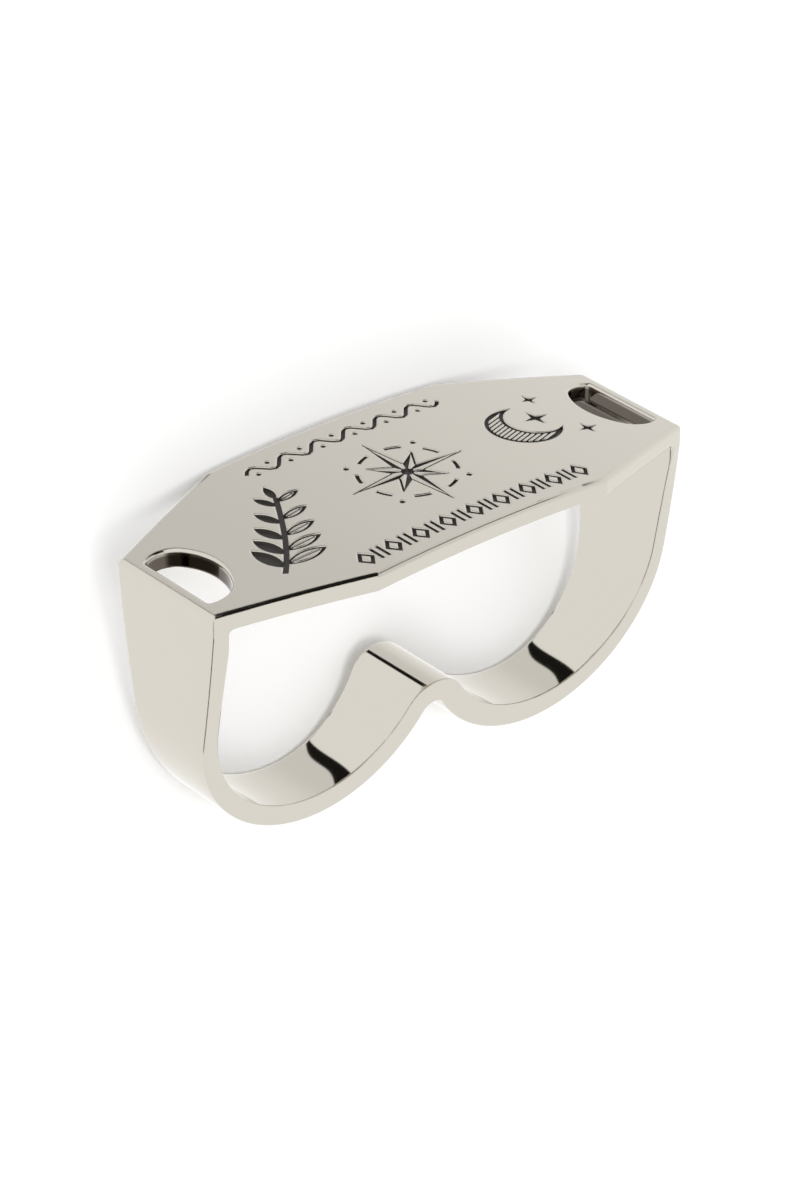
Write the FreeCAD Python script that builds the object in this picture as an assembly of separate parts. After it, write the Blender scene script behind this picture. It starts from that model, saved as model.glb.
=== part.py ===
"""Two finger ring: an arched eight-sided plate over a band with two finger lobes, all one casting.

The ring is drawn upright first, plate on top: X along the plate, Y along the fingers, Z up, with the
origin at the middle of the plate's top. It is then laid on the plate's long back edge and the two lobes,
as it rests by itself. Sizes are in millimetres.
"""

import FreeCAD, Part
import math
import os

from FreeCAD import Matrix, Placement, Vector

# Plate
half_length = 22.0
end_half_width = 5.4
shoulder_half_width = 9.7
shoulder_x = 10.7
plate_thickness = 1.4
crown_radius = 152.0

# Finger lobes, seen along the fingers
finger_radius = 10.0
finger_x = 10.85
finger_z = -12.0
hump_top_z = -16.1
outer_radius = 11.4
outer_z = -12.4
notch_top_z = -18.0
window_corner_radius = 0.5

# Band width, which narrows downwards
taper_top_z = -3.5
taper_end_z = -24.5
taper_end_half_width = 2.4
taper_hollow = 0.25

# End cut-outs: a straight side by the plate's end and a rounded side towards the middle
cutout_straight_x = 21.0
cutout_inner_x = 17.5
cutout_half_height = 3.85
cutout_crown_radius = 5.4
cutout_shoulder_radius = 2.0
cutout_corner_radius = 0.35
cutout_floor_z = -2.95

# Rounded edges
shoulder_edge_radius = 0.3
plate_edge_radius = 0.4
underside_edge_radius = 0.2
band_edge_radius = 0.15
cutout_edge_radius = 0.25

# Engraving
engraving_depth = 0.22
hatch_width = 0.16
line_width = 0.3
bold_width = 0.42

reach = 40.0
near = 0.001
slope = (shoulder_half_width - end_half_width) / (half_length - shoulder_x)
inner_side_x = finger_x + finger_radius
inner_top_half_width = end_half_width + slope * (half_length - inner_side_x)
outer_x = half_length - outer_radius


# Plain shapes


def polygon(points):
    return Part.Face(Part.makePolygon(points + points[:1]))


def arc(start, middle, end):
    return Part.Arc(start, middle, end).toShape()


def line(start, end):
    return Part.LineSegment(start, end).toShape()


def flat(x, y):
    return Vector(x, y, 0.0)


def upright(x, z):
    return Vector(x, 0.0, z)


def polar(centre, radius, degrees):
    angle = math.radians(degrees)
    return centre + Vector(radius * math.cos(angle), radius * math.sin(angle), 0.0)


def mirrored(shape):
    return shape.mirror(Vector(0, 0, 0), Vector(1, 0, 0))


def crown(radius):
    """Everything under an arched surface whose crest runs along Y over the plate's middle."""
    return Part.makeCylinder(radius, reach, Vector(0, -reach / 2.0, -crown_radius), Vector(0, 1, 0))


# Band


def hump_arc_radius(cx, cz, radius, top_z):
    """Radius of the arc on the middle plane that touches a lobe's circle and has its top at top_z."""
    drop = cz - top_z
    return (cx * cx + drop * drop - radius * radius) / (2.0 * (radius - drop))


def lobe_body(side_x, cx, cz, radius, top_z):
    """Two lobes joined by a hump, with upright sides and open space above, drawn out along the fingers."""
    hump_z = top_z - hump_arc_radius(cx, cz, radius, top_z)
    lift = math.atan2(hump_z - cz, -cx)
    touch = upright(cx + radius * math.cos(lift), cz + radius * math.sin(lift))
    other_touch = upright(-touch.x, touch.z)
    ceiling = reach / 2.0
    outline = Part.Wire(
        [
            line(upright(-side_x, ceiling), upright(-side_x, cz)),
            arc(upright(-side_x, cz), upright(-cx, cz - radius), other_touch),
            arc(other_touch, upright(0.0, top_z), touch),
            arc(touch, upright(cx, cz - radius), upright(side_x, cz)),
            line(upright(side_x, cz), upright(side_x, ceiling)),
            line(upright(side_x, ceiling), upright(-side_x, ceiling)),
        ]
    )
    face = Part.Face(outline)
    face.translate(Vector(0, -reach / 2.0, 0))
    return face.extrude(Vector(0, reach, 0))


def octagon():
    right = [(half_length, -end_half_width), (half_length, end_half_width), (shoulder_x, shoulder_half_width)]
    left = [(-x, -y) for x, y in right]
    corners = right + [(-shoulder_x, shoulder_half_width)] + left + [(shoulder_x, -shoulder_half_width)]
    return polygon([Vector(x, y, taper_top_z) for x, y in corners]).extrude(Vector(0, 0, reach))


def taper_half_width(z):
    """Half width of the band's inner edge at a height: nearly straight, slightly hollow between the ends."""
    span = taper_top_z - taper_end_z
    middle = (2.0 * z - taper_top_z - taper_end_z) / span
    straight = taper_end_half_width + (inner_top_half_width - taper_end_half_width) * (z - taper_end_z) / span
    return straight - taper_hollow * (1.0 - middle * middle)


def taper_lean(z):
    """Change of half width with height."""
    half_span = (taper_top_z - taper_end_z) / 2.0
    middle = (z - taper_end_z - half_span) / half_span
    return (inner_top_half_width - taper_end_half_width + 4.0 * taper_hollow * middle) / (2.0 * half_span)


def taper_section(x, top_z, bottom_z, top_width, middle_width, bottom_width):
    """Cross-section over Y and Z with hollow sides, from half widths at three heights."""
    middle_z = (top_z + bottom_z) / 2.0
    top = Vector(x, top_width, top_z)
    middle = Vector(x, middle_width, middle_z)
    bottom = Vector(x, bottom_width, bottom_z)
    other_top, other_middle, other_bottom = (Vector(x, -point.y, point.z) for point in (top, middle, bottom))
    return Part.Wire(
        [
            arc(other_top, other_middle, other_bottom),
            line(other_bottom, bottom),
            arc(bottom, middle, top),
            line(top, other_top),
        ]
    )


def taper_body():
    """Space the band fills: one section under the finger centres, and above them sides that widen towards
    the plate's slanted walls, a little more on the inside than on the outside."""
    lobe_width = taper_half_width(finger_z)
    under_width = taper_half_width((finger_z + taper_end_z) / 2.0)
    overhang = half_length + 1.0
    under = taper_section(-overhang, finger_z, taper_end_z, lobe_width, under_width, taper_end_half_width)
    bodies = [Part.Face(under).extrude(Vector(2.0 * overhang, 0, 0))]
    rise = taper_top_z - finger_z
    bulge = (taper_lean(finger_z) - (end_half_width - lobe_width) / rise) * rise / 4.0
    inner_middle = taper_half_width(finger_z + rise / 2.0)
    outer_middle = (end_half_width + lobe_width) / 2.0 + bulge
    beyond = (overhang - inner_side_x) / (half_length - inner_side_x)
    far_top = inner_top_half_width + (end_half_width - inner_top_half_width) * beyond
    far_middle = inner_middle + (outer_middle - inner_middle) * beyond
    for side in (-1.0, 1.0):
        inner = taper_section(
            side * inner_side_x, taper_top_z, finger_z, inner_top_half_width, inner_middle, lobe_width
        )
        outer = taper_section(side * overhang, taper_top_z, finger_z, far_top, far_middle, lobe_width)
        bodies.append(Part.makeLoft([inner, outer], True, True))
    return bodies[0].multiFuse(bodies[1:])


def finger_space():
    """Hollow inside the band and under the plate, its two upper corners rounded."""
    space = lobe_body(inner_side_x, finger_x, finger_z, finger_radius, hump_top_z)
    space = space.common(crown(crown_radius - plate_thickness))
    corners = []
    for edge in space.Edges:
        box = edge.BoundBox
        above_lobes = box.ZMin > finger_z + 1.0
        if box.YLength > reach / 2.0 and above_lobes and abs(box.XMin) > inner_side_x - near:
            corners.append(edge)
    return space.makeFillet(window_corner_radius, corners)


# Edge rounding


def samples(edge):
    first = edge.FirstParameter
    span = edge.LastParameter - first
    return [edge.valueAt(first + span * part) for part in (0.02, 0.3, 0.5, 0.7, 0.98)]


def middle_of(edge):
    return samples(edge)[2]


def on_crown(point, radius):
    return abs(math.hypot(point.x, point.z + crown_radius) - radius) < near


def on_lobe_body(point, side_x, cx, cz, radius, top_z):
    hump_radius = hump_arc_radius(cx, cz, radius, top_z)
    on_side = abs(abs(point.x) - side_x) < near and point.z > cz - near
    on_lobe = abs(math.hypot(abs(point.x) - cx, point.z - cz) - radius) < near
    on_hump = abs(math.hypot(point.x, point.z - top_z + hump_radius) - hump_radius) < near
    return on_side or on_lobe or on_hump


def all_on(edge, test, *values):
    return all(test(point, *values) for point in samples(edge))


def shoulder_edges(shape):
    found = []
    for edge in shape.Edges:
        middle = middle_of(edge)
        at_x = abs(abs(middle.x) - shoulder_x) < near
        at_y = abs(abs(middle.y) - shoulder_half_width) < near
        if at_x and at_y and edge.BoundBox.ZLength > 1.0:
            found.append(edge)
    return found


def plate_top_edges(shape):
    return [edge for edge in shape.Edges if all_on(edge, on_crown, crown_radius)]


def band_outer_edges(shape):
    outside = (half_length, outer_x, outer_z, outer_radius, notch_top_z)
    found = []
    for edge in shape.Edges:
        box = edge.BoundBox
        along_band = box.YLength < 2.0 * taper_end_half_width and box.ZMax < taper_top_z + near
        if along_band and all_on(edge, on_lobe_body, *outside):
            found.append(edge)
    return found


def near_underside(point):
    corner_x = inner_side_x - window_corner_radius
    under_plate = on_crown(point, crown_radius - plate_thickness)
    at_corner = abs(point.x) > corner_x - 0.1 and point.z > taper_top_z - near
    return under_plate or at_corner and abs(point.x) < inner_side_x + near


def underside_edges(shape):
    """Edges where the finger space opens under the plate, down to where the band starts to narrow."""
    found = []
    for edge in shape.Edges:
        box = edge.BoundBox
        across = box.YMin < 0.0 < box.YMax
        if not across and box.ZMax < -1.3 and all_on(edge, near_underside):
            found.append(edge)
    return found


def cutout_top_edges(shape):
    found = []
    for edge in shape.Edges:
        middle = middle_of(edge)
        by_cutout = cutout_inner_x - 0.1 < abs(middle.x) < cutout_straight_x + 0.1
        if by_cutout and abs(middle.y) < cutout_half_height + 0.1 and all_on(edge, on_crown, crown_radius):
            found.append(edge)
    return found


def rounded(shape, radius, edges):
    return shape.makeFillet(radius, edges).Solids[0]


# End cut-outs


def cutout():
    crown_x = cutout_inner_x + cutout_crown_radius
    shoulder_y = cutout_half_height - cutout_shoulder_radius
    across = cutout_crown_radius - cutout_shoulder_radius
    top_x = crown_x - math.sqrt(across * across - shoulder_y * shoulder_y)
    meet_degrees = math.degrees(math.atan2(shoulder_y, top_x - crown_x))
    meet = polar(flat(crown_x, 0.0), cutout_crown_radius, meet_degrees)
    top = flat(top_x, cutout_half_height)
    rise = math.sqrt(cutout_shoulder_radius**2 - (cutout_straight_x - top_x) ** 2)
    end = flat(cutout_straight_x, shoulder_y + rise)
    low_meet, low_top, low_end = (flat(point.x, -point.y) for point in (meet, top, end))
    outline = Part.Wire(
        [
            arc(end, top, meet),
            arc(meet, flat(cutout_inner_x, 0.0), low_meet),
            arc(low_meet, low_top, low_end),
            line(low_end, end),
        ]
    )
    face = Part.Face(outline)
    face.translate(Vector(0, 0, cutout_floor_z))
    body = face.extrude(Vector(0, 0, -2.0 * cutout_floor_z))
    corners = [
        edge
        for edge in body.Edges
        if edge.BoundBox.ZLength > 1.0 and abs(edge.BoundBox.XMin - cutout_straight_x) < near
    ]
    return body.makeFillet(cutout_corner_radius, corners)


# Engraved drawing, flat over the plate


def stroke(points, width):
    """Band of one width along a line of points."""
    left, right = [], []
    for index, point in enumerate(points):
        before = points[max(index - 1, 0)]
        after = points[min(index + 1, len(points) - 1)]
        direction = (after - before).normalize()
        side = Vector(-direction.y, direction.x, 0.0) * (width / 2.0)
        left.append(point + side)
        right.append(point - side)
    return polygon(left + right[::-1])


def disc(centre, radius):
    return Part.Face(Part.Wire(Part.makeCircle(radius, centre)))


def leaf(base, degrees, length, width):
    tip = polar(base, length, degrees)
    middle = (base + tip) * 0.5
    one_side = polar(middle, width / 2.0, degrees + 90.0)
    other_side = polar(middle, width / 2.0, degrees - 90.0)
    return Part.Face(Part.Wire([arc(base, one_side, tip), arc(tip, other_side, base)]))


def hatching(area, centre, half_size, degrees, pitch):
    """Parallel fine lines clipped to an area."""
    lines = []
    count = int(half_size / pitch)
    for index in range(-count, count + 1):
        start = polar(polar(centre, index * pitch, degrees + 90.0), -half_size, degrees)
        end = polar(start, 2.0 * half_size, degrees)
        lines += stroke([start, end], hatch_width).common(area).Faces
    return lines


def outlined_leaf(base, degrees, length, width):
    outer = leaf(base, degrees, length, width)
    inner_base = polar(base, 1.1 * line_width, degrees)
    inner = leaf(inner_base, degrees, length - 2.6 * line_width, width - 1.5 * line_width)
    vein = stroke([polar(base, 0.2, degrees), polar(base, length - 0.6, degrees)], hatch_width)
    return outer.cut(inner).Faces + [vein]


def pointed_star(centre, long_radius, waist_radius, points, degrees):
    step = 180.0 / points
    radii = (long_radius, waist_radius)
    corners = [polar(centre, radii[index % 2], degrees + index * step) for index in range(2 * points)]
    return polygon(corners)


def lozenge(centre, half_width, half_height):
    offsets = ((half_width, 0), (0, half_height), (-half_width, 0), (0, -half_height))
    return polygon([centre + flat(x, y) for x, y in offsets])


def outlined_lozenge(centre, half_width, half_height):
    inner = lozenge(centre, half_width - 1.2 * line_width, half_height - 1.6 * line_width)
    return lozenge(centre, half_width, half_height).cut(inner).Faces


def compass():
    """Eight rays, each with one filled and one open side, inside a broken ring."""
    centre = flat(0.0, -0.1)
    waist, ring = 1.2, 3.7
    shapes = [disc(centre, 0.5)]
    for index in range(8):
        degrees = 90.0 + 45.0 * index
        tip = polar(centre, 3.0 if index % 2 else 5.1, degrees)
        filled_side = polar(centre, waist, degrees + 22.5)
        open_side = polar(centre, waist, degrees - 22.5)
        shapes.append(polygon([centre, tip, filled_side]))
        shapes.append(stroke([tip, open_side], hatch_width))
        arc_points = [polar(centre, ring, degrees + 22.5 + turn) for turn in (-10, -5, 0, 5, 10)]
        shapes.append(stroke(arc_points, line_width))
        if index % 2:
            shapes.append(disc(polar(centre, ring + 0.75, degrees), 0.22))
    return shapes


def sprig():
    """Curved stem with filled leaves on one side and open ones on the other."""
    start, bend, end = flat(-15.2, -4.9), flat(-12.6, -2.2), flat(-9.4, 3.4)
    leaf_count = 5

    def on_stem(part):
        return start * (1 - part) ** 2 + bend * (2 * part * (1 - part)) + end * part**2

    shapes = [stroke([on_stem(index / 14.0) for index in range(15)], bold_width)]
    for index in range(leaf_count):
        part = 0.1 + 0.8 * index / (leaf_count - 1)
        direction = on_stem(part + 0.05) - on_stem(part - 0.05)
        degrees = math.degrees(math.atan2(direction.y, direction.x))
        length = 3.5 - 1.3 * index / (leaf_count - 1)
        shapes.append(leaf(on_stem(part), degrees + 48.0, length, 0.34 * length))
        shapes += outlined_leaf(on_stem(part + 0.05), degrees - 52.0, length, 0.38 * length)
    shapes.append(leaf(on_stem(0.98), 78.0, 2.0, 0.7))
    return shapes


def moon():
    """Hatched crescent with three small stars."""
    centre = flat(11.6, 0.4)
    crescent = disc(centre, 2.9).cut(disc(centre + flat(1.35, 0.45), 2.25))
    inner = disc(centre, 2.9 - line_width).cut(disc(centre + flat(1.35, 0.45), 2.25 + line_width))
    shapes = crescent.cut(inner).Faces + hatching(inner, centre, 3.0, 20.0, 0.36)
    for x, y, size in ((13.2, 0.9, 1.15), (15.4, -2.4, 0.9), (14.9, 3.6, 0.8)):
        shapes.append(pointed_star(flat(x, y), size, 0.3 * size, 4, 90.0))
    return shapes


def front_border():
    """Lozenges and upright bars in turn."""
    shapes = []
    row_y, pitch, count = -7.45, 2.5, 9
    for index in range(count):
        x = (index - (count - 1) / 2.0) * pitch
        shapes += outlined_lozenge(flat(x, row_y), 0.72, 1.0)
        if index:
            for offset in (-0.2, 0.2):
                bar_x = x - pitch / 2.0 + 1.4 * offset
                shapes.append(stroke([flat(bar_x, row_y - 0.8), flat(bar_x, row_y + 0.8)], line_width))
    return shapes


def back_border():
    """Wave with a dot in each bend."""
    shapes = []
    row_y, wave, height, bends = 7.2, 3.0, 0.62, 6
    steps = 8 * bends
    points = []
    for index in range(steps + 1):
        x = (index / steps - 0.5) * bends * wave
        points.append(flat(x, row_y + height * math.sin(2.0 * math.pi * x / wave)))
    shapes.append(stroke(points, line_width))
    for index in range(2 * bends):
        x = (index - bends + 0.5) * wave / 2.0
        side = -1.0 if index % 2 == bends % 2 else 1.0
        shapes.append(disc(flat(x, row_y + side * 0.45), 0.2))
    return shapes


def engraving():
    shapes = compass() + sprig() + moon() + front_border() + back_border()
    prisms = []
    for shape in shapes:
        shape.translate(Vector(0, 0, -3.0))
        prisms.append(shape.extrude(Vector(0, 0, 4.0)))
    drawing = prisms[0].multiFuse(prisms[1:])
    return drawing.cut(crown(crown_radius - engraving_depth))


# Resting pose


def rest_lean(points):
    """Angle at which the plate's back edge and the lobes' back edges touch the floor together."""
    low, high = 0.0, math.radians(45.0)
    while high - low > 1e-7:
        lean = (low + high) / 2.0
        reaches = {True: 0.0, False: 0.0}
        for point in points:
            is_plate = point.z > finger_z
            reaches[is_plate] = max(reaches[is_plate], point.y * math.cos(lean) - point.z * math.sin(lean))
        if reaches[True] > reaches[False]:
            low = lean
        else:
            high = lean
    return low


def laid_down(shape):
    """The shape at rest, over the middle of its own bounding box's bottom."""
    points = shape.tessellate(0.01)[0]
    lean = rest_lean(points)
    cosine, sine = math.cos(lean), math.sin(lean)
    turn = Placement(Matrix(-1, 0, 0, 0, 0, -sine, -cosine, 0, 0, -cosine, sine, 0, 0, 0, 0, 1))
    turned = [turn.multVec(point) for point in points]
    lowest = min(point.z for point in turned)
    depths = [point.y for point in turned]
    resting = shape.copy()
    resting.Placement = turn
    resting.translate(Vector(0.0, -(min(depths) + max(depths)) / 2.0, -lowest))
    return resting


# The ring

blank = lobe_body(half_length, outer_x, outer_z, outer_radius, notch_top_z).common(crown(crown_radius))
loop = blank.cut(finger_space())
ring = loop.common(octagon()).fuse(loop.common(taper_body())).removeSplitter().Solids[0]
ring = rounded(ring, shoulder_edge_radius, shoulder_edges(ring))
ring = rounded(ring, plate_edge_radius, plate_top_edges(ring))
ring = rounded(ring, band_edge_radius, band_outer_edges(ring))
ring = rounded(ring, underside_edge_radius, underside_edges(ring))
ring = ring.cut([cutout(), mirrored(cutout())]).Solids[0]
ring = rounded(ring, cutout_edge_radius, cutout_top_edges(ring))
ring = ring.cut(engraving()).Solids[0]

os.makedirs("parts", exist_ok=True)
laid_down(ring).exportStep("parts/ring.step")
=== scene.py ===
import math

import bpy
from mathutils import Matrix, Vector

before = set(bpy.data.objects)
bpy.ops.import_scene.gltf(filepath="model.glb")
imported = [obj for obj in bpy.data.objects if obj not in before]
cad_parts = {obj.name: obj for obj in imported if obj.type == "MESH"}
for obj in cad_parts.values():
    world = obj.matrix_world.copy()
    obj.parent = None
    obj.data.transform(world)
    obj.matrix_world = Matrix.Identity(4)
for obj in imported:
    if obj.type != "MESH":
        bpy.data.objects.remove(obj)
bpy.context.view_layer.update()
MM = 0.001

# How the ring lies: the upright ring's own directions and origin, seen in the resting frame
LEAN = math.radians(18.0729)
PLATE_TOP = Vector((0.0, -10.2286, 9.7202)) * MM
UPRIGHT_Y = Vector((0.0, -math.sin(LEAN), -math.cos(LEAN)))
UPRIGHT_Z = Vector((0.0, -math.cos(LEAN), math.sin(LEAN)))

# Sizes of the plate, in millimetres
CROWN_RADIUS = 152.0
SHOULDER_X = 10.7
SHOULDER_HALF_WIDTH = 9.7
EDGE_SLOPE = 0.3805

# Parts of the ring that get their own tone, in millimetres: satin face, blackened recesses, and painted
# shade in the cut-outs and the pocket.
# Depth is measured under the plate's arched top, x along the plate from its middle to either end, y along
# the fingers.
OFF_FACE_DEPTHS = (0.004, 0.06)
RECESS_DEPTHS = (0.03, 0.09)
RECESS_LOWEST = 0.6
RECESS_END_X = 17.15
RECESS_MARGIN = 0.7
CUTOUT_DEPTHS = (0.12, 0.5)
CUTOUT_LOWEST = 1.36
CUTOUT_X = (17.3, 21.05)
CUTOUT_HALF_HEIGHT = 3.95
POCKET_X = (20.3, 21.2)
POCKET_TOP_DEPTH = 1.3
POCKET_FADE_DEPTHS = (3.4, 5.0)
POCKET_FADE_Y = (-2.5, 0.5)

# Shading of the band: radius that rounds the sharp edges, and the slight arching of its faces towards the
# rims, with the band's half width under the plate's top and how it narrows downwards
SOFT_EDGE = 0.25 * MM
SOFT_EDGE_SAMPLES = 8
RIM_TILT = 0.09
HUMP_EDGES = (3.0, 6.0)
RIM_TOP_Z = -3.0
RIM_HALF_WIDTH = 6.4
RIM_NARROWING = 0.164

# Camera, in the resting frame
CAMERA_PLACE = Vector((192.801, -94.750, 276.109)) * MM
CAMERA_LOOK = Vector((-0.558088, 0.274548, -0.783046))
CAMERA_UP = Vector((-0.323999, -0.940867, -0.098964))
CAMERA_LENS = 141.43
SENSOR_WIDTH = 36.0
CLIP_START = 0.01

# Colours and finish
METAL = (0.60, 0.57, 0.507, 1.0)
SATIN_METAL = (0.585, 0.552, 0.492, 1.0)
BLACKENED = (0.022, 0.017, 0.014, 1.0)
# Painted shade: dark tone laid by place on the cut-outs' walls and the pocket behind them, standing in for
# dark reflections
PAINTED_SHADE_TONE = (0.11, 0.093, 0.078, 1.0)
FLOOR = (0.97, 0.97, 0.97, 1.0)
FLOOR_SIZE = 4.0
FLOOR_ROUGHNESS = 0.9
FLOOR_SPECULAR = 0.1
FACE_ROUGHNESS = 0.20
POLISH = 0.15
RECESS_ROUGHNESS = 0.5

# Studio that the metal mirrors. All limits are parts of a unit direction in the upright ring's own frame.
WHITE = (1.0, 1.0, 1.0, 1.0)
BLACK = (0.0, 0.0, 0.0, 1.0)
STUDIO_STRENGTH = 1.15

# Slightly dimmer side overhead, which turns bright again further out
DIM_SIDE = 0.2
DIM_START_X = (0.0, 0.2)
DIM_END_X = (0.4, 0.75)
DIM_END_SHARE = 0.7
DIM_Z = (-0.2, 0.3)

# Wide black screen overhead, between two leaning sides
SCREEN = (0.012, 0.011, 0.010, 1.0)
SCREEN_BLUR = 0.01
SCREEN_NEAR_SIDE = 0.05
SCREEN_NEAR_LEAN = 0.45
SCREEN_FAR_SIDE = 0.30
SCREEN_FAR_LEAN = 0.27
SCREEN_NARROWING = 0.22
SCREEN_NARROWING_Y = (0.52, 0.80)
SCREEN_WIDENING = 0.12
SCREEN_WIDENING_Y = (0.35, 0.5)
SCREEN_START = -0.76

# Thin black screen overhead, and one low at the side
THIN_SCREEN_SIDES = (0.36, 0.64)
THIN_SCREEN_ENDS = (-0.32, -0.08)
LOW_SCREEN_SIDES = (-1.1, -0.7)
LOW_SCREEN_ENDS = (-0.2, 0.25)

# Soft lamp over the ring: place, size and power
LAMP_PLACE = Vector((0.10, 0.16, 0.50))
LAMP_SIZE = 0.35
LAMP_POWER = 0.9


class Nodes:
    """Small helper that adds and links shader nodes."""

    def __init__(self, tree):
        self.tree = tree
        tree.nodes.clear()

    def add(self, kind, **settings):
        node = self.tree.nodes.new(kind)
        for name, value in settings.items():
            setattr(node, name, value)
        return node

    def feed(self, socket, value):
        if isinstance(value, bpy.types.NodeSocket):
            self.tree.links.new(value, socket)
        else:
            socket.default_value = value

    def math(self, operation, first, second=0.0):
        node = self.add("ShaderNodeMath", operation=operation)
        self.feed(node.inputs[0], first)
        self.feed(node.inputs[1], second)
        return node.outputs[0]

    def dot(self, vector, direction):
        node = self.add("ShaderNodeVectorMath", operation="DOT_PRODUCT")
        self.feed(node.inputs[0], vector)
        self.feed(node.inputs[1], direction)
        return node.outputs["Value"]

    def ramp(self, value, low, high):
        """0 below low, 1 above high, smooth between."""
        node = self.add("ShaderNodeMapRange", interpolation_type="SMOOTHSTEP")
        self.feed(node.inputs["Value"], value)
        node.inputs["From Min"].default_value = low
        node.inputs["From Max"].default_value = high
        return node.outputs["Result"]

    def mix(self, factor, first, second):
        node = self.add("ShaderNodeMix", data_type="RGBA")
        self.feed(node.inputs["Factor"], factor)
        self.feed(node.inputs[6], first)
        self.feed(node.inputs[7], second)
        return node.outputs[2]


def product(nodes, *values):
    """All values multiplied together."""
    result = values[0]
    for value in values[1:]:
        result = nodes.math("MULTIPLY", result, value)
    return result


def upright_place(nodes, place):
    """Upright coordinates in millimetres: x from the middle to either end, y and z from the plate's top."""
    x = nodes.math("ABSOLUTE", nodes.dot(place, (1.0 / MM, 0.0, 0.0)))
    y = nodes.dot(place, UPRIGHT_Y / MM)
    y = nodes.math("SUBTRACT", y, PLATE_TOP.dot(UPRIGHT_Y) / MM)
    z = nodes.dot(place, UPRIGHT_Z / MM)
    z = nodes.math("SUBTRACT", z, PLATE_TOP.dot(UPRIGHT_Z) / MM)
    return x, y, z


def depth_under_crown(nodes, x, z):
    height = nodes.math("ADD", z, CROWN_RADIUS)
    across = nodes.math("ADD", nodes.math("MULTIPLY", x, x), nodes.math("MULTIPLY", height, height))
    return nodes.math("SUBTRACT", CROWN_RADIUS, nodes.math("SQRT", across))


def within(nodes, value, low, high):
    """1 between low and high, 0 outside, with sharp borders."""
    above = nodes.math("GREATER_THAN", value, low)
    return nodes.math("MULTIPLY", above, nodes.math("LESS_THAN", value, high))


def recess_mask(nodes, x, y, depth):
    """Engraved recesses in the plate's face, away from its rounded rim."""
    past_shoulder = nodes.math("MAXIMUM", nodes.math("SUBTRACT", x, SHOULDER_X), 0.0)
    slanted = nodes.math("MULTIPLY", past_shoulder, EDGE_SLOPE)
    reach = nodes.math("ADD", nodes.math("ABSOLUTE", y), slanted)
    return product(
        nodes,
        nodes.ramp(depth, *RECESS_DEPTHS),
        nodes.math("LESS_THAN", depth, RECESS_LOWEST),
        nodes.math("LESS_THAN", x, RECESS_END_X),
        nodes.math("LESS_THAN", reach, SHOULDER_HALF_WIDTH - RECESS_MARGIN),
    )


def painted_shade_mask(nodes, x, y, depth):
    """Painted shade standing in for dark reflections: the walls of the cut-outs, and the pocket between the
    plate's end and the back half of the band.
    """
    walls = product(
        nodes,
        nodes.ramp(depth, *CUTOUT_DEPTHS),
        nodes.math("LESS_THAN", depth, CUTOUT_LOWEST),
        within(nodes, x, *CUTOUT_X),
        nodes.math("LESS_THAN", nodes.math("ABSOLUTE", y), CUTOUT_HALF_HEIGHT),
    )
    pocket = product(
        nodes,
        within(nodes, x, *POCKET_X),
        nodes.math("SUBTRACT", 1.0, nodes.ramp(depth, *POCKET_FADE_DEPTHS)),
        nodes.math("GREATER_THAN", depth, POCKET_TOP_DEPTH),
        nodes.ramp(y, *POCKET_FADE_Y),
    )
    return nodes.math("MAXIMUM", walls, pocket)


def band_normal(nodes, x, y, z):
    """Surface direction with soft edges, tilted outwards near the band's two rims but not on the hump."""
    bevel = nodes.add("ShaderNodeBevel", samples=SOFT_EDGE_SAMPLES)
    bevel.inputs["Radius"].default_value = SOFT_EDGE
    half_width = nodes.math("ADD", nodes.math("MULTIPLY", z, RIM_NARROWING), RIM_HALF_WIDTH)
    share = nodes.math("DIVIDE", y, half_width)
    cubed = product(nodes, share, share, share)
    off_hump = nodes.ramp(x, *HUMP_EDGES)
    tilt = product(nodes, cubed, RIM_TILT, off_hump, nodes.math("LESS_THAN", z, RIM_TOP_Z))
    outwards = nodes.add("ShaderNodeVectorMath", operation="SCALE")
    outwards.inputs[0].default_value = UPRIGHT_Y
    nodes.feed(outwards.inputs["Scale"], tilt)
    total = nodes.add("ShaderNodeVectorMath", operation="ADD")
    nodes.feed(total.inputs[0], bevel.outputs["Normal"])
    nodes.feed(total.inputs[1], outwards.outputs[0])
    unit = nodes.add("ShaderNodeVectorMath", operation="NORMALIZE")
    nodes.feed(unit.inputs[0], total.outputs[0])
    return unit.outputs[0]


def ring_material():
    """Satin face, polished sides, painted shade in the cut-outs and the pocket behind them, and black
    recesses, by place on the ring.
    """
    material = bpy.data.materials.new("metal")
    material.use_nodes = True
    nodes = Nodes(material.node_tree)
    place = nodes.add("ShaderNodeTexCoord").outputs["Object"]
    x, y, z = upright_place(nodes, place)
    depth = depth_under_crown(nodes, x, z)
    recess = recess_mask(nodes, x, y, depth)
    off_face = nodes.ramp(depth, *OFF_FACE_DEPTHS)

    colour = nodes.mix(off_face, SATIN_METAL, METAL)
    # Painted shade: the cut-outs' walls and the pocket behind them are darkened by place
    colour = nodes.mix(painted_shade_mask(nodes, x, y, depth), colour, PAINTED_SHADE_TONE)
    colour = nodes.mix(recess, colour, BLACKENED)
    roughness = nodes.math("SUBTRACT", FACE_ROUGHNESS, nodes.math("MULTIPLY", off_face, POLISH))
    roughness = nodes.math("ADD", roughness, nodes.math("MULTIPLY", recess, RECESS_ROUGHNESS))

    shader = nodes.add("ShaderNodeBsdfPrincipled")
    nodes.feed(shader.inputs["Base Color"], colour)
    nodes.feed(shader.inputs["Metallic"], nodes.math("SUBTRACT", 1.0, recess))
    nodes.feed(shader.inputs["Roughness"], roughness)
    nodes.feed(shader.inputs["Normal"], band_normal(nodes, x, y, z))
    output = nodes.add("ShaderNodeOutputMaterial")
    nodes.feed(output.inputs["Surface"], shader.outputs[0])
    return material


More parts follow.
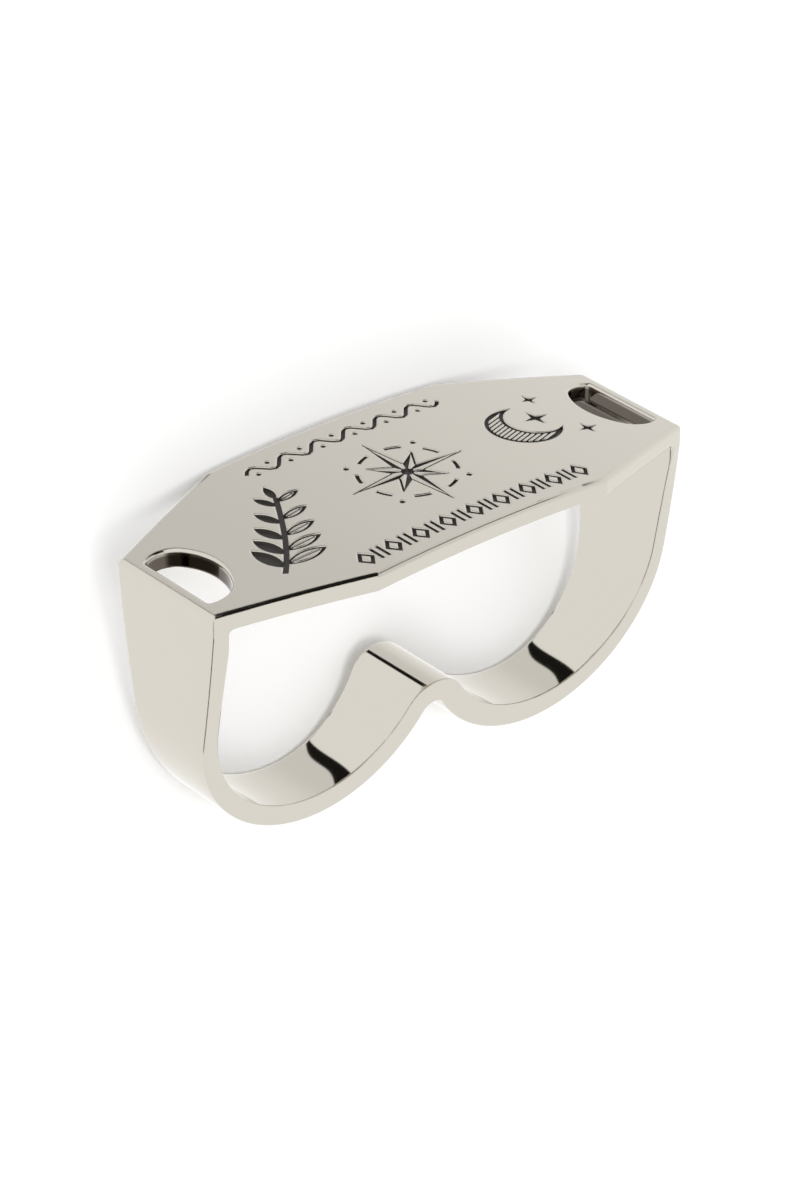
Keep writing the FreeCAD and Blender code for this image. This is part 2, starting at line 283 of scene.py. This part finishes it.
def floor():
    """Plain pale stage, which the polished metal doesn't mirror."""
    bpy.ops.mesh.primitive_plane_add(size=FLOOR_SIZE)
    plane = bpy.context.object
    plane.name = "floor"
    material = bpy.data.materials.new("floor")
    material.use_nodes = True
    shader = material.node_tree.nodes["Principled BSDF"]
    shader.inputs["Base Color"].default_value = FLOOR
    shader.inputs["Roughness"].default_value = FLOOR_ROUGHNESS
    shader.inputs["Specular IOR Level"].default_value = FLOOR_SPECULAR
    plane.data.materials.append(material)
    plane.visible_glossy = False


def between(nodes, value, low, high):
    """1 between low and high, 0 outside, with slightly soft borders."""
    above = nodes.ramp(nodes.math("SUBTRACT", value, low), -SCREEN_BLUR, SCREEN_BLUR)
    below = nodes.ramp(nodes.math("SUBTRACT", high, value), -SCREEN_BLUR, SCREEN_BLUR)
    return nodes.math("MULTIPLY", above, below)


def dim_side(nodes, x, z):
    brighter_again = nodes.math("MULTIPLY", nodes.ramp(x, *DIM_END_X), DIM_END_SHARE)
    dim = nodes.math("SUBTRACT", nodes.ramp(x, *DIM_START_X), brighter_again)
    return product(nodes, dim, DIM_SIDE, nodes.ramp(z, *DIM_Z))


def wide_screen(nodes, x, y):
    ahead = nodes.math("MINIMUM", y, 0.0)
    near_side = nodes.math("ADD", nodes.math("MULTIPLY", ahead, SCREEN_NEAR_LEAN), SCREEN_NEAR_SIDE)
    far_side = nodes.math("ADD", nodes.math("MULTIPLY", ahead, SCREEN_FAR_LEAN), SCREEN_FAR_SIDE)
    narrowing = nodes.math("MULTIPLY", nodes.ramp(y, *SCREEN_NARROWING_Y), SCREEN_NARROWING)
    far_side = nodes.math("SUBTRACT", far_side, narrowing)
    widening = nodes.math("SUBTRACT", 1.0, nodes.ramp(y, *SCREEN_WIDENING_Y))
    far_side = nodes.math("ADD", far_side, nodes.math("MULTIPLY", widening, SCREEN_WIDENING))
    inside = between(nodes, x, near_side, far_side)
    return nodes.math("MULTIPLY", inside, nodes.math("GREATER_THAN", y, SCREEN_START))


def plain_screen(nodes, x, y, sides, ends):
    return nodes.math("MULTIPLY", between(nodes, x, *sides), between(nodes, y, *ends))


def surroundings():
    """Bright studio with two black screens overhead, one low at the side, and a slightly dimmer side.

    Directions are in the upright ring's own frame: x along the plate, y along the fingers, z out of it."""
    world = bpy.data.worlds.new("studio")
    bpy.context.scene.world = world
    world.use_nodes = True
    nodes = Nodes(world.node_tree)
    direction = nodes.add("ShaderNodeTexCoord").outputs["Generated"]
    x = nodes.dot(direction, (-1.0, 0.0, 0.0))
    y = nodes.dot(direction, UPRIGHT_Y)
    z = nodes.dot(direction, UPRIGHT_Z)

    thin = plain_screen(nodes, x, y, THIN_SCREEN_SIDES, THIN_SCREEN_ENDS)
    overhead = nodes.math("MAXIMUM", wide_screen(nodes, x, y), thin)
    overhead = nodes.math("MULTIPLY", overhead, nodes.math("GREATER_THAN", z, 0.0))
    low = plain_screen(nodes, x, y, LOW_SCREEN_SIDES, LOW_SCREEN_ENDS)
    low = nodes.math("MULTIPLY", low, nodes.math("LESS_THAN", z, 0.0))
    colour = nodes.mix(dim_side(nodes, x, z), WHITE, BLACK)
    colour = nodes.mix(nodes.math("MAXIMUM", overhead, low), colour, SCREEN)

    background = nodes.add("ShaderNodeBackground")
    nodes.feed(background.inputs["Color"], colour)
    background.inputs["Strength"].default_value = STUDIO_STRENGTH
    output = nodes.add("ShaderNodeOutputWorld")
    nodes.feed(output.inputs["Surface"], background.outputs[0])


def lamp():
    """Soft lamp aimed at the ring, unseen in its reflections."""
    data = bpy.data.lights.new("softbox", "AREA")
    data.size = LAMP_SIZE
    data.energy = LAMP_POWER
    softbox = bpy.data.objects.new("softbox", data)
    softbox.matrix_world = LAMP_PLACE.to_track_quat("Z", "Y").to_matrix().to_4x4()
    softbox.location = LAMP_PLACE
    softbox.visible_glossy = False
    bpy.context.collection.objects.link(softbox)


def camera():
    """Camera at the photo's own angle to the ring."""
    data = bpy.data.cameras.new("camera")
    data.lens = CAMERA_LENS
    data.sensor_width = SENSOR_WIDTH
    data.clip_start = CLIP_START
    back = -CAMERA_LOOK.normalized()
    right = CAMERA_UP.cross(back).normalized()
    up = back.cross(right)
    turn = Matrix((right, up, back)).transposed().to_4x4()
    view = bpy.data.objects.new("camera", data)
    view.matrix_world = Matrix.Translation(CAMERA_PLACE) @ turn
    bpy.context.collection.objects.link(view)
    bpy.context.scene.camera = view


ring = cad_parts["ring"]
ring.data.materials.clear()
ring.data.materials.append(ring_material())
floor()
surroundings()
lamp()
camera()
bpy.context.scene.view_settings.view_transform = "Standard"
